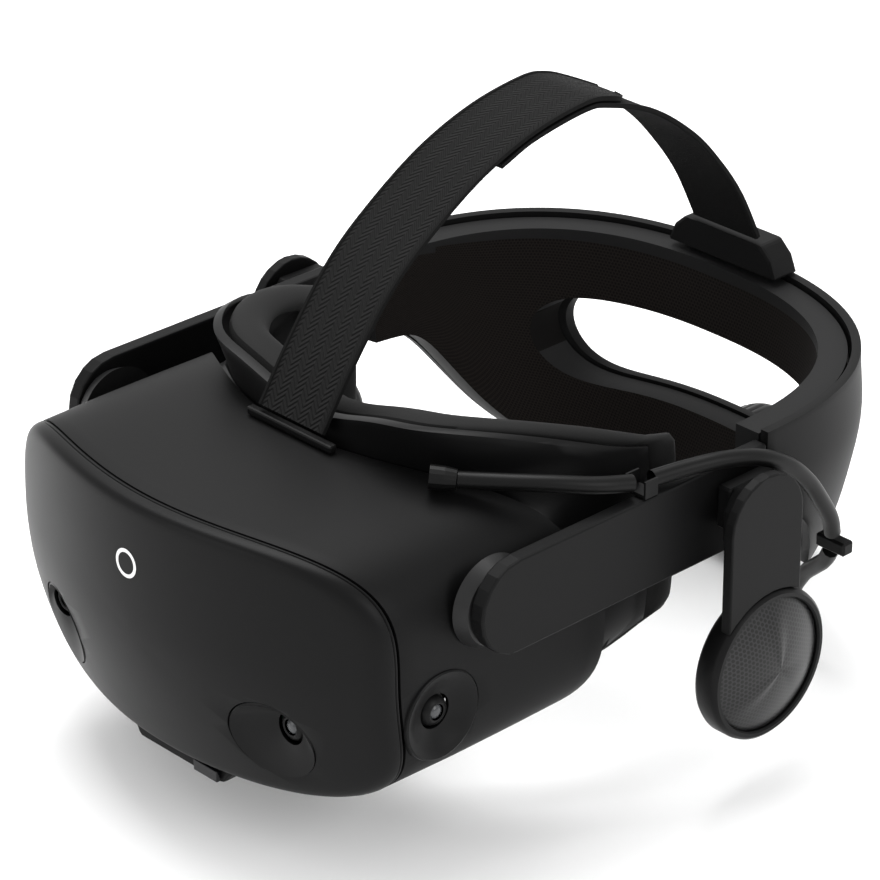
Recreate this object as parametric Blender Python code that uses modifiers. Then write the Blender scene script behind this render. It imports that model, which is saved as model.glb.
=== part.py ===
"""Tethered virtual reality headset with a rear dial halo band.

Design frame, in millimetres: X to the wearer's left, Y from the front cover to the back of the
head, Z up. ORIGIN is the point of that frame that becomes the world origin (bottom centre).
Bodies: the halo band (root), the side arms that slide in it, the visor that tilts between the
arms, the lens pods, the buttons, the size dial and the two off-ear speakers.
"""
import math

import bmesh
import bpy
import numpy as np
from mathutils import Matrix, Vector

MM = 0.001
ORIGIN = (0.0, 152.0, -41.0)
GAP = 0.3  # clearance between pieces that touch
MERGE = 0.00001

# visor
VISOR_HALF_WIDTH = 92.0
VISOR_HALF_HEIGHT = 49.0
VISOR_CENTRE_Z = 37.0
VISOR_SQUARENESS = 4.0
FRONT_Y = -8.0
FRONT_CURVE = 0.0033
COVER_WALL = 2.5
SHELL_WALL = 2.2
SEAM_DEPTH = 7.0
DISH_CENTRE = (53.0, 14.0)
DISH_RADIUS = 15.5
FRONT_LENS = (61.0, 21.0)
SIDE_DISH = (45.0, 24.5)
SIDE_DISH_RADIUS = 16.0
# gasket
GASKET_HALF_WIDTH = 86.0
GASKET_HALF_HEIGHT = 54.0
GASKET_CENTRE_Z = 50.0
GASKET_CENTRE_Y = 82.5
CUSHION_DEPTH = 8.0
CUSHION_WIDTH = 6.0
# tilt axis and arms
TILT_AXIS = (65.0, 60.0)
ARM_INNER = 99.3
ARM_OUTER = 105.0
ARM_BOTTOM = 44.3
ARM_TOP = 78.3
ARM_FRONT = 51.0
ARM_REAR = 184.7
# halo band
HALO_START = 185.0
HALO_HALF_WIDTH = 105.0
HALO_DEPTH = 103.0
HALO_SQUARENESS = 2.4
HALO_TOP = 82.5
OPENING_TOP = 52.0
OPENING_BOTTOM = 19.0
# speakers
SPEAKER_Y = 172.0
SPEAKER_Z = 4.0
SPEAKER_RADIUS = 28.0
SWING_AXIS = (112.0, 72.0)
# optics
LENS_X = 32.0
LENS_Z = 40.0
# size dial
DIAL_Z = -15.0
DIAL_RADIUS = 26.0
# tether
CORD_RADIUS = 3.0

CORD_FRONT = [(65.9, 77.5, 88.8), (76, 87, 88.4), (87, 99, 87.6), (95.5, 112, 85.5), (99.5, 124.6, 83.2)]
CORD_MIDDLE = [(100.5, 133, 82.2), (103.5, 146, 82.4), (108, 160, 82.4), (111.5, 174, 79.5),
               (112.4, 187, 72.5), (112, 198, 62.5), (111, 207, 51), (109.6, 214, 41), (107.6, 218, 33)]
CORD_REAR = [(103.5, 222.5, 22.5), (98.5, 225.5, 15.5), (91.5, 229, 9), (83, 233, 1), (74, 237.5, -11),
             (66, 242.5, -25), (57, 249, -34.5), (44, 258, -37.6), (28, 270, -37.9), (10, 279.5, -37.9),
             (-10, 284, -37.9), (-32, 279, -37.9), (-56, 266, -37.9), (-79, 249, -37.9),
             (-97, 226, -37.9), (-106, 203, -37.9), (-107.8, 180, -37.9)]
COIL_CENTRE = (-46.0, 172.0)
COIL_INNER = 30.0
COIL_OUTER = 58.0
COIL_HEIGHT = 27.0

FLOOR_Z = ORIGIN[2]
MATERIALS = {
    "matt_plastic": ((0.022, 0.022, 0.023), 0.55, 0.0),
    "satin_plastic": ((0.030, 0.030, 0.031), 0.45, 0.0),
    "gloss_black": ((0.006, 0.006, 0.007), 0.08, 0.0),
    "lens_glass": ((0.05, 0.05, 0.06), 0.05, 0.0),
    "woven_strap": ((0.020, 0.020, 0.020), 0.9, 0.0),
    "cushion_fabric": ((0.030, 0.030, 0.030), 0.85, 0.0),
    "pad_fabric": ((0.034, 0.031, 0.029), 0.9, 0.0),
    "speaker_mesh": ((0.018, 0.018, 0.018), 0.4, 0.6),
    "cable_rubber": ((0.018, 0.018, 0.018), 0.6, 0.0),
    "circuit_board": ((0.01, 0.08, 0.03), 0.5, 0.0),
    "steel": ((0.45, 0.45, 0.46), 0.35, 1.0),
}


# ---------------------------------------------------------------- scene helpers
def clear_scene():
    for obj in list(bpy.data.objects):
        bpy.data.objects.remove(obj, do_unlink=True)


def collection(name):
    group = bpy.data.collections.new(name)
    bpy.context.scene.collection.children.link(group)
    return group


def material(name):
    found = bpy.data.materials.get(name)
    if found:
        return found
    colour, roughness, metallic = MATERIALS[name]
    made = bpy.data.materials.new(name)
    made.use_nodes = True
    shader = made.node_tree.nodes["Principled BSDF"]
    shader.inputs["Base Color"].default_value = (*colour, 1.0)
    shader.inputs["Roughness"].default_value = roughness
    shader.inputs["Metallic"].default_value = metallic
    return made


def place(point):
    return Vector([(p - o) * MM for p, o in zip(point, ORIGIN)])


def add(name, data, look, group=None):
    obj = bpy.data.objects.new(name, data)
    if look:
        data.materials.append(material(look))
    (group or PARTS).objects.link(obj)
    return obj


def finish_mesh(name, bm, look, smooth=40.0, fix_normals=True):
    if fix_normals:
        bmesh.ops.recalc_face_normals(bm, faces=bm.faces)
    mesh = bpy.data.meshes.new(name)
    bm.to_mesh(mesh)
    bm.free()
    mesh.shade_smooth()
    mesh.set_sharp_from_angle(angle=math.radians(smooth))
    return add(name, mesh, look)


def bevel(obj, width, segments=2):
    mod = obj.modifiers.new("edges", "BEVEL")
    mod.width = width * MM
    mod.segments = segments
    mod.limit_method = "ANGLE"
    mod.angle_limit = math.radians(40)
    return obj


def thicken(obj, thickness):
    mod = obj.modifiers.new("wall", "SOLIDIFY")
    mod.thickness = thickness * MM
    mod.offset = -1.0
    mod.use_even_offset = True
    mod.thickness_clamp = 0.0
    return obj


def cut(obj, *cutters):
    for cutter in cutters:
        mod = obj.modifiers.new("cut_" + cutter.name, "BOOLEAN")
        mod.operation = "DIFFERENCE"
        mod.solver = "EXACT"
        mod.object = cutter
    return obj


def as_cutter(obj):
    for group in list(obj.users_collection):
        group.objects.unlink(obj)
    CUTTERS.objects.link(obj)
    obj.hide_render = True
    obj.display_type = "WIRE"
    return obj


# ---------------------------------------------------------------- shape helpers
def skin(name, rows, look, wrap=False, close_rows=False, centre=None, outward=None):
    """Loft a surface through rows of points; wrap closes each row, close_rows joins last to first.

    centre adds a point that the first row fans into. outward turns an open surface's faces away
    from that point, which a later Solidify needs.
    """
    bm = bmesh.new()
    grid = [[bm.verts.new(place(p)) for p in row] for row in rows]
    count = len(grid[0])
    pairs = list(zip(grid, grid[1:]))
    if close_rows:
        pairs.append((grid[-1], grid[0]))
    for first, second in pairs:
        for i in range(count if wrap else count - 1):
            j = (i + 1) % count
            bm.faces.new((first[i], first[j], second[j], second[i]))
    if centre:
        hub = bm.verts.new(place(centre))
        for i in range(count):
            bm.faces.new((grid[0][(i + 1) % count], grid[0][i], hub))
    bmesh.ops.recalc_face_normals(bm, faces=bm.faces)
    if outward:
        look_from = place(outward)
        facing = sum((f.calc_center_median() - look_from).dot(f.normal) * f.calc_area() for f in bm.faces)
        if facing < 0:
            bmesh.ops.reverse_faces(bm, faces=bm.faces)
    return finish_mesh(name, bm, look, fix_normals=False)


def axis_turn(axis):
    return Vector((0, 0, 1)).rotation_difference(Vector(axis)).to_matrix().to_4x4()


def cylinder(name, centre, axis, radius, depth, look, segments=28, edge=0.0, radius_end=None):
    bm = bmesh.new()
    end = radius if radius_end is None else radius_end
    bmesh.ops.create_cone(bm, cap_ends=True, segments=segments, radius1=radius * MM,
                          radius2=end * MM, depth=depth * MM)
    obj = finish_mesh(name, bm, look)
    obj.matrix_world = Matrix.Translation(place(centre)) @ axis_turn(axis)
    if edge:
        bevel(obj, edge)
    return obj


def box(name, low, high, look, edge=0.8, segments=2):
    bm = bmesh.new()
    bmesh.ops.create_cube(bm, size=MM)
    size = [h - l for l, h in zip(low, high)]
    bmesh.ops.scale(bm, verts=bm.verts, vec=size)
    obj = finish_mesh(name, bm, look)
    obj.location = place([(l + h) / 2 for l, h in zip(low, high)])
    if edge:
        bevel(obj, edge, segments)
    return obj


def turned(name, profile, centre, axis, look, closed=False, steps=28):
    """Screw a profile of (radius, height) points round an axis, running down its outer side."""
    area = sum(a[0] * b[1] - b[0] * a[1] for a, b in zip(profile, profile[1:] + profile[:1]))
    if area > 0:
        profile = profile[::-1]
    bm = bmesh.new()
    points = [bm.verts.new((r * MM, 0, h * MM)) for r, h in profile]
    for a, b in zip(points, points[1:]):
        bm.edges.new((a, b))
    if closed:
        bm.edges.new((points[-1], points[0]))
    mesh = bpy.data.meshes.new(name)
    bm.to_mesh(mesh)
    bm.free()
    obj = add(name, mesh, look)
    mod = obj.modifiers.new("turn", "SCREW")
    mod.axis = "Z"
    mod.steps = steps
    mod.render_steps = steps
    mod.use_merge_vertices = True
    mod.merge_threshold = MERGE
    mod.use_smooth_shade = True
    obj.matrix_world = Matrix.Translation(place(centre)) @ axis_turn(axis)
    return obj


PLANE_YZ = Matrix(((0, 0, 1), (1, 0, 0), (0, 1, 0))).to_4x4()
PLANE_XZ = Matrix(((1, 0, 0), (0, 0, -1), (0, 1, 0))).to_4x4()


def plate(name, outlines, plane, at, thickness, look, edge=0.6):
    """Extrude flat outlines (the first outer, the rest holes) to a plate centred on the plane."""
    curve = bpy.data.curves.new(name, "CURVE")
    curve.dimensions = "2D"
    curve.fill_mode = "BOTH"
    curve.extrude = thickness * MM / 2
    curve.resolution_u = 1
    curve.render_resolution_u = 0
    for outline in outlines:
        spline = curve.splines.new("POLY")
        spline.points.add(len(outline) - 1)
        for point, (u, v) in zip(spline.points, outline):
            point.co = (u * MM, v * MM, 0, 1)
        spline.use_cyclic_u = True
    obj = add(name, curve, look)
    offset = Vector([-o * MM for o in ORIGIN])
    normal = plane.to_3x3() @ Vector((0, 0, 1))
    obj.matrix_world = Matrix.Translation(offset + normal * at * MM) @ plane
    weld = obj.modifiers.new("weld", "WELD")
    weld.merge_threshold = MERGE
    if edge:
        bevel(obj, edge)
    return obj


def arc(centre, radius, start, end, count):
    return [(centre[0] + radius * math.cos(math.radians(a)), centre[1] + radius * math.sin(math.radians(a)))
            for a in np.linspace(start, end, count)]


def circle(centre, radius, count):
    return arc(centre, radius, 0, 360 * (count - 1) / count, count)


def smooth_path(points, count):
    """Even points along a Catmull-Rom curve through the given points."""
    p = [2 * np.array(points[0], float) - np.array(points[1], float)]
    p += [np.array(q, float) for q in points]
    p.append(2 * p[-1] - p[-2])
    fine = []
    for a, b, c, d in zip(p, p[1:], p[2:], p[3:]):
        for t in np.linspace(0, 1, 16, endpoint=False):
            fine.append(0.5 * (2 * b + (c - a) * t + (2 * a - 5 * b + 4 * c - d) * t**2
                               + (3 * b - a - 3 * c + d) * t**3))
    fine.append(p[-2])
    fine = np.array(fine)
    run = np.concatenate([[0], np.cumsum(np.linalg.norm(np.diff(fine, axis=0), axis=1))])
    even = np.linspace(0, run[-1], count)
    return np.stack([np.interp(even, run, fine[:, k]) for k in range(3)], axis=1)


def tube(name, points, radius, look):
    curve = bpy.data.curves.new(name, "CURVE")
    curve.dimensions = "3D"
    curve.bevel_depth = radius * MM
    curve.bevel_resolution = 2
    curve.use_fill_caps = True
    curve.resolution_u = 1
    curve.render_resolution_u = 0
    spline = curve.splines.new("POLY")
    spline.points.add(len(points) - 1)
    for point, p in zip(spline.points, points):
        point.co = (*place(p), 1)
    return add(name, curve, look)


def hang_on(joint_name, centre, pieces):
    """Parent a moving body's pieces to an empty on its joint's axis, where they are."""
    pivot = bpy.data.objects.new(joint_name, None)
    pivot.empty_display_size = 0.01
    PARTS.objects.link(pivot)
    pivot.location = place(centre)
    bpy.context.view_layer.update()
    for piece in pieces:
        piece.parent = pivot
        piece.matrix_parent_inverse = pivot.matrix_world.inverted()
    return pivot


def signed_power(value, power):
    return math.copysign(abs(value) ** power, value)


def superellipse(half_width, half_height, squareness, count, shape=None):
    """Evenly spaced (x, z) points of a superellipse about the origin, after an optional reshaping."""
    fine = []
    for k in range(721):
        angle = 2 * math.pi * k / 720
        p = (half_width * signed_power(math.cos(angle), 2 / squareness),
             half_height * signed_power(math.sin(angle), 2 / squareness))
        fine.append(shape(*p) if shape else p)
    fine = np.array(fine)
    run = np.concatenate([[0], np.cumsum(np.linalg.norm(np.diff(fine, axis=0), axis=1))])
    even = np.linspace(0, run[-1], count + 1)[:-1]
    return [(float(np.interp(s, run, fine[:, 0])), float(np.interp(s, run, fine[:, 1]))) for s in even]


# ---------------------------------------------------------------- visor
def front_y(x, z):
    """Depth of the front cover's face: bowed in plan, and curving under towards the chin."""
    rise = z - 45.0
    return FRONT_Y + FRONT_CURVE * x * x + (0.001 if rise > 0 else 0.004) * rise * rise


def visor_ring(scale, count=48, extra=0.0):
    ring = superellipse(VISOR_HALF_WIDTH + extra, VISOR_HALF_HEIGHT, VISOR_SQUARENESS, count)
    return [(x * scale, VISOR_CENTRE_Z + z * scale) for x, z in ring]


def shell_rear_y(x, z):
    """Rear edge of the shell: hollowed for the forehead, longer beside the cheeks."""
    side = abs(x) / 93.0
    low = min(max((75.0 - z) / 45.0, 0.0), 1.0)
    return 66.0 + 41.0 * side**1.9 + 14.0 * low * low * (3 - 2 * low) * side**4


def make_cover():
    steps = [(0.35, 0), (0.68, 0), (0.90, 0), (0.965, 0.3), (0.990, 2.0), (1.0, 4.8), (1.0, SEAM_DEPTH)]
    rows = []
    for scale, back in steps:
        rows.append([(x, front_y(x, z) + back, z) for x, z in visor_ring(scale)])
    hub = (0.0, front_y(0, VISOR_CENTRE_Z), VISOR_CENTRE_Z)
    cover = skin("front_cover", rows, "matt_plastic", wrap=True, centre=hub, outward=(0, 60, 37))
    thicken(cover, COVER_WALL)
    for side in (1, -1):
        hole = cylinder(f"dish_hole_{side}", (side * DISH_CENTRE[0], 5, DISH_CENTRE[1]), (0, 1, 0),
                        DISH_RADIUS + GAP, 60, None, segments=24)
        cut(cover, as_cutter(hole))
    return cover


def make_shell():
    rows = []
    for run, extra in ((0.0, 0.0), (0.35, 1.0), (0.7, 1.0), (1.0, 0.6)):
        row = []
        for x, z in visor_ring(1.0, extra=extra):
            start = front_y(x, z) + SEAM_DEPTH + GAP
            row.append((x, start + run * (shell_rear_y(x, z) - start), z))
        rows.append(row)
    shell = skin("main_shell", rows, "matt_plastic", wrap=True, outward=(0, 60, 37))
    thicken(shell, SHELL_WALL)
    hole = cylinder("side_dish_hole", (0, *SIDE_DISH), (1, 0, 0), SIDE_DISH_RADIUS + GAP, 230, None,
                    segments=24)
    return cut(shell, as_cutter(hole))


def make_front_dish(side, suffix):
    """Off-centre cone from the round edge in the cover down to the camera's lens."""
    lens_x, lens_z = side * FRONT_LENS[0], FRONT_LENS[1]
    lens_y = front_y(lens_x, lens_z) + 6.5
    rim = [(x, front_y(x, z) + 0.4, z) for x, z in circle((side * DISH_CENTRE[0], DISH_CENTRE[1]), 14.2, 24)]
    inner = [(x, lens_y, z) for x, z in circle((lens_x, lens_z), 6.2, 24)]
    middle = [tuple((a * 0.5 + b * 0.5) for a, b in zip(p, q)) for p, q in zip(rim, inner)]
    dish = skin(f"front_camera_dish_{suffix}", [rim, middle, inner], "satin_plastic", wrap=True,
                outward=(side * 53, 400, 17))
    bpy_mesh = dish.data
    bpy_mesh.flip_normals()
    thicken(dish, 1.2)
    camera = turned(f"front_camera_{suffix}", [(0, 4), (2.6, 3.6), (3.4, 2.6), (5.4, 2.2), (5.4, -5.6), (0, -5.6)],
                    (lens_x, lens_y + 4.4, lens_z), (0, -1, 0), "gloss_black", steps=20)
    return [dish, camera]


def make_side_dish(side, suffix):
    y, z = SIDE_DISH
    face = side * 92.6
    profile = [(15.7, 0.4), (15.7, -1.0), (6.4, -4.6), (6.4, -3.2), (14.6, 0.4)]
    dish = turned(f"side_camera_dish_{suffix}", profile, (face, y, z), (side, 0, 0), "satin_plastic",
                  closed=True, steps=24)
    camera = turned(f"side_camera_{suffix}", [(0, 4), (2.6, 3.6), (3.4, 2.6), (5.4, 2.2), (5.4, -8), (0, -8)],
                    (side * (92.6 - 7.0), y, z), (side, 0, 0), "gloss_black", steps=20)
    return [dish, camera]


def make_chin_camera():
    housing_outline = [(-26, -12.6), (-22, -19), (22, -19), (27, -12.6)]
    housing = plate("chin_camera_housing", [housing_outline], PLANE_XZ, -20.0, 18.0, "matt_plastic", edge=1.2)
    window = box("chin_camera_window", (9, 9.0, -18.4), (21, 10.7, -14.2), "gloss_black", edge=0.3)
    return [housing, window]


def make_inside():
    ring = [(x, z) for x, z in superellipse(85.0, 45.0, VISOR_SQUARENESS, 32)]
    outer = [(x, z + VISOR_CENTRE_Z) for x, z in ring]
    holes = []
    for side in (1, -1):
        centre = side * LENS_X
        right = arc((centre + 2.3, LENS_Z), 24.5, -90, 90, 9)
        left = arc((centre - 2.3, LENS_Z), 24.5, 90, 270, 9)
        holes.append(right + left)
    plate_mid = plate("lens_plate", [outer] + holes, PLANE_XZ, -52.5, 2.0, "matt_plastic", edge=0)
    board = box("main_board", (-66, 24.2, 6), (66, 25.8, 70), "circuit_board", edge=0)
    return [plate_mid, board]


def make_lens_pods():
    pods = {}
    for side, suffix in ((1, "left"), (-1, "right")):
        centre = (side * LENS_X, 0, LENS_Z)
        barrel = turned(f"lens_barrel_{suffix}", [(27, 50.8), (27, 30.5), (25.2, 30.5), (25.2, 48.8), (22.6, 50.8)],
                        centre, (0, 1, 0), "matt_plastic", closed=True, steps=28)
        lens = turned(f"lens_{suffix}", [(0, 47.6), (12, 46.8), (20, 44.6), (24.6, 41.8), (24.6, 40.6), (0, 40.6)],
                      centre, (0, 1, 0), "lens_glass", steps=24)
        panel = box(f"display_panel_{suffix}", (side * LENS_X - 23, 28.2, LENS_Z - 23),
                    (side * LENS_X + 23, 30.0, LENS_Z + 23), "gloss_black", edge=0)
        pods[suffix] = [barrel, lens, panel]
    return pods


def nose_and_strap_shape(x, z):
    """Raise the gasket's lower edge over the nose and dip its upper edge behind the strap."""
    if z < 0:
        z += 28.0 * math.exp(-((x / 17.0) ** 2))
    else:
        z -= 11.0 * math.exp(-((x / 32.0) ** 2))
    return x, z


def gasket_ring(scale, count=48):
    ring = superellipse(GASKET_HALF_WIDTH, GASKET_HALF_HEIGHT, 5.0, count, nose_and_strap_shape)
    return [(x * scale, GASKET_CENTRE_Z + z * scale) for x, z in ring]


def gasket_y(x):
    """Depth of the cushion's crown: wrapped round the forehead and the cheeks."""
    side = min(abs(x) / 84.5, 1.0)
    wrap = 156.0 - 88.0 * math.sqrt(1 - side * side)
    return GASKET_CENTRE_Y + math.log1p(math.exp((wrap - GASKET_CENTRE_Y) / 3.0)) * 3.0


def make_gasket():
    inner = visor_ring(0.935, extra=1.0)
    edge = [shell_rear_y(x, z) for x, z in visor_ring(1.0, extra=0.6)]
    crown = gasket_ring(1.0)
    rows = [[(x, y - 9.0, z) for (x, z), y in zip(inner, edge)],
            [(x, y + 1.2, z) for (x, z), y in zip(inner, edge)]]
    rows.append([(0.45 * p[0] + 0.55 * q[0], 0.45 * p[1] + 0.55 * (gasket_y(q[0]) - 12.5), 0.45 * p[2] + 0.55 * q[1])
                 for p, q in zip(rows[1], crown)])
    rows.append([(x, gasket_y(x) - CUSHION_DEPTH - 4.5, z) for x, z in crown])
    frame = skin("gasket_frame", rows, "satin_plastic", wrap=True, outward=(0, 100, 40))
    thicken(frame, 1.8)
    sections = []
    for (x, z), (ix, iz) in zip(crown, gasket_ring(0.93)):
        inward = Vector((ix - x, 0, iz - z))
        inward.normalize()
        row = []
        for k in range(8):
            angle = 2 * math.pi * k / 8
            sideways = CUSHION_WIDTH * (1 - math.cos(angle))
            row.append((x + inward.x * sideways, gasket_y(x) - CUSHION_DEPTH * math.sin(angle),
                        z + inward.z * sideways))
        sections.append(row)
    cushion = skin("face_cushion", sections, "cushion_fabric", wrap=True, close_rows=True)
    return [frame, cushion]


def make_hinge_side(side, suffix):
    y, z = TILT_AXIS
    boss = turned(f"pivot_boss_{suffix}", [(13.5, 5.6), (16.5, 0.3), (4.3, 0.3), (4.3, 5.6)],
                  (side * 93.2, y, z), (side, 0, 0), "satin_plastic", closed=True, steps=28)
    pin = turned(f"hinge_pin_{suffix}", [(0, 5.2), (3.9, 5.2), (3.9, -0.3), (0, -0.3)],
                 (side * 93.8, y, z), (side, 0, 0), "steel", steps=16)
    return boss, pin


def make_strap_bar():
    return plate("strap_anchor_bar", [[(-21, 86.4), (21, 86.4), (21, 89.4), (-21, 89.4)]], PLANE_XZ, -63.6, 3.4,
                 "satin_plastic", edge=0.8)


def make_gland():
    return turned("cable_gland", [(0, 9), (3.5, 9), (4.1, 5), (4.2, 0), (0, 0)],
                  (59.0, 71.2, 89.6), (7.0, 6.4, -0.8), "cable_rubber", steps=16)


def ribbon(name, path, half_width, thickness, look, tip=False):
    """A webbing strap along a path of (y, z) points, thickened to its underside."""
    points = smooth_path([(0, y, z) for y, z in path], 30)
    rows = []
    last = len(points) - 1
    for i, p in enumerate(points):
        width = half_width
        if tip and i > last - 3:
            width *= (0.94, 0.80, 0.52)[i - (last - 2)]
        rows.append([(x, p[1], p[2]) for x in (-width, 0.0, width)])
    strap = skin(name, rows, look, outward=(0, 160, 60))
    return thicken(strap, thickness)


def make_straps():
    front = ribbon("top_strap_front", [(63.4, 91.6), (78, 113), (96, 135), (115, 150), (138, 163.5),
                                       (162, 172), (186, 175.6), (198, 174), (212, 168.5)],
                   16.0, 1.6, "woven_strap", tip=True)
    rear = ribbon("top_strap_rear", [(146, 163.9), (162, 169.4), (186, 173), (198, 171.4), (220, 163), (241, 148),
                                     (256, 132), (267, 117), (275.5, 101), (277.6, 96.5)],
                  16.0, 1.6, "woven_strap")
    return front, rear


# ---------------------------------------------------------------- arms
def make_arm(side, suffix):
    radius = (ARM_TOP - ARM_BOTTOM) / 2
    mid_z = ARM_BOTTOM + radius
    front = arc((ARM_FRONT + radius, mid_z), radius, 270, 90, 11)
    outline = front + [(ARM_REAR, ARM_TOP), (ARM_REAR, ARM_BOTTOM)]
    thickness = ARM_OUTER - ARM_INNER
    return plate(f"side_arm_{suffix}", [outline], PLANE_YZ, side * (ARM_INNER + thickness / 2), thickness,
                 "matt_plastic", edge=0.9)


def make_tongue(side, suffix):
    """The arm's rear tongue, which slides between the halo's shell and its frame."""
    return box(f"slide_tongue_{suffix}", (min(side * 96.4, side * 98.9), 150, 52),
               (max(side * 96.4, side * 98.9), 206, 72), "steel", edge=0.5, segments=1)


def make_arm_clip():
    return plate("cable_clip_arm", [[(95.6, 78.7), (105, 78.7), (105, 85), (104.2, 85), (104.2, 79.9),
                                     (96.4, 79.9), (96.4, 85), (95.6, 85)]], PLANE_XZ, -128.4, 6.0,
                 "satin_plastic", edge=0)


# ---------------------------------------------------------------- halo band
def halo_plan(angle, half_width, depth):
    c, s = math.cos(angle), math.sin(angle)
    return (half_width * signed_power(c, 2 / HALO_SQUARENESS),
            HALO_START + depth * abs(s) ** (2 / HALO_SQUARENESS))


def halo_low(angle):
    """Height of the band's lower edge: level with the arm, falling behind the ear to the nape."""
    turn = math.degrees(min(angle, math.pi - angle))
    return float(np.interp(turn, [0, 8, 12, 17, 28, 36, 45, 66, 90], [44.3, 42, 35, 23, 0, -5, -8, -18, -24]))


def halo_tuck(z):
    """How far the band leans inwards below its widest height."""
    return 0.0046 * max(62.0 - z, 0.0) ** 2


def halo_rows(inset, top, raise_low, heights=7, columns=40):
    angles = [math.pi * k / columns for k in range(columns + 1)]
    rows = []
    for h in range(heights):
        row = []
        for angle in angles:
            low = halo_low(angle) + raise_low
            z = low + (top - low) * h / (heights - 1)
            tuck = halo_tuck(z)
            x, y = halo_plan(angle, HALO_HALF_WIDTH - inset - tuck, HALO_DEPTH - inset - 0.12 * tuck)
            row.append((x, y, z))
        rows.append(row)
    return rows


def opening_cutter(name, grow):
    low, high = OPENING_BOTTOM - grow, OPENING_TOP + grow
    half = 72.0 + grow
    outline = [(-52, low), (52, low), (62, low + 4), (half - 3, low + 15), (half, low + 24), (half - 2, high - 3),
               (half - 7, high), (-half + 7, high), (-half + 2, high - 3), (-half, low + 24),
               (-half + 3, low + 15), (-62, low + 4)]
    curve_plate = plate(name, [outline], PLANE_XZ, -280.0, 120.0, None, edge=0)
    bpy.context.view_layer.update()
    evaluated = curve_plate.evaluated_get(bpy.context.evaluated_depsgraph_get())
    mesh = bpy.data.meshes.new_from_object(evaluated)
    bm = bmesh.new()
    bm.from_mesh(mesh)
    bmesh.ops.remove_doubles(bm, verts=bm.verts, dist=MERGE)
    bmesh.ops.recalc_face_normals(bm, faces=bm.faces)
    bm.to_mesh(mesh)
    bm.free()
    made = bpy.data.objects.new(name + "_solid", mesh)
    PARTS.objects.link(made)
    made.matrix_world = curve_plate.matrix_world
    bpy.data.objects.remove(curve_plate, do_unlink=True)
    return as_cutter(made)


def make_halo():
    centre = (0, 200, 40)
    shell = skin("halo_shell", halo_rows(0.0, HALO_TOP, 0.0), "matt_plastic", outward=centre)
    thicken(shell, 2.8)
    pad = skin("halo_pad", halo_rows(9.3, HALO_TOP - 2.5, 2.0), "pad_fabric", outward=centre)
    thicken(pad, 6.0)
    cut(shell, opening_cutter("shell_opening", 0.0))
    cut(pad, opening_cutter("pad_opening", 0.5))
    return [shell, pad]


def make_strap_mount():
    """Raised saddle over the band's rear top edge, with a slot bar for the rear strap."""
    outline = [(-27, 83.0), (27, 83.0), (24, 90), (19, 94.6), (-19, 94.6), (-24, 90)]
    return plate("strap_mount", [outline], PLANE_XZ, -281.0, 12.0, "matt_plastic", edge=1.2)


def make_dial():
    """Round knob on a short hub that meets the band's nape."""
    profile = [(0, 24.4), (22.5, 24.4), (25.2, 22.6), (DIAL_RADIUS, 20), (DIAL_RADIUS, 7), (24.5, 5), (15, 5),
               (13, 0.6), (0, 0.6)]
    return turned("size_dial", profile, (0, 287.2, DIAL_Z), (0, 1, 0), "satin_plastic", steps=36)


def make_rear_clip():
    return box("cable_clip_rear", (99.3, 218.6, 24.2), (112.6, 224.0, 29.4), "satin_plastic", edge=0.8, segments=1)


# ---------------------------------------------------------------- speakers
def make_speaker(side, suffix):
    def at(x, y, z):
        return (side * x, y, z)

    low, high = sorted((side * 105.3, side * 111.4))
    bracket = box(f"speaker_bracket_{suffix}", (low, 160, 56), (high, 183, 72), "satin_plastic", edge=0.8,
                  segments=1)
    carriage_outline = arc((170.5, 55), 14.5, 180, 360, 9) + [(185, 66), (180, 73), (161, 73), (156, 66)]
    carriage = plate(f"speaker_carriage_{suffix}", [carriage_outline], PLANE_YZ, side * 114.3, 5.0,
                     "matt_plastic", edge=0.8)
    stem_outline = arc((168.5, 60.5), 17.5, 0, 180, 13) + arc((SPEAKER_Y, SPEAKER_Z), SPEAKER_RADIUS + 0.4, 137, 60, 9)
    stem = plate(f"speaker_stem_{suffix}", [stem_outline], PLANE_YZ, side * 119.2, 4.2, "matt_plastic", edge=0.9)
    cup = [(0, -3.6), (24.8, -3.6), (24.8, 4.6), (27.0, 4.6), (28.0, 3.0), (28.0, -3.6), (25.6, -5.8), (0, -5.8)]
    housing = turned(f"speaker_housing_{suffix}", cup, at(117.0, SPEAKER_Y, SPEAKER_Z), (side, 0, 0),
                     "matt_plastic", steps=32)
    grille = turned(f"speaker_grille_{suffix}", [(0, 9.6), (9, 8.8), (17, 6.6), (24.4, 3.2), (24.4, 1.2), (17, 4.4),
                                                (9, 6.6), (0, 7.4)], at(117.0, SPEAKER_Y, SPEAKER_Z),
                    (side, 0, 0), "speaker_mesh", steps=28)
    driver = turned(f"speaker_driver_{suffix}", [(0, 2.2), (20, 0.4), (20, -3.2), (0, -3.2)],
                    at(117.0, SPEAKER_Y, SPEAKER_Z), (side, 0, 0), "gloss_black", steps=20)
    return bracket, carriage, [stem, housing, grille, driver]


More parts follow.
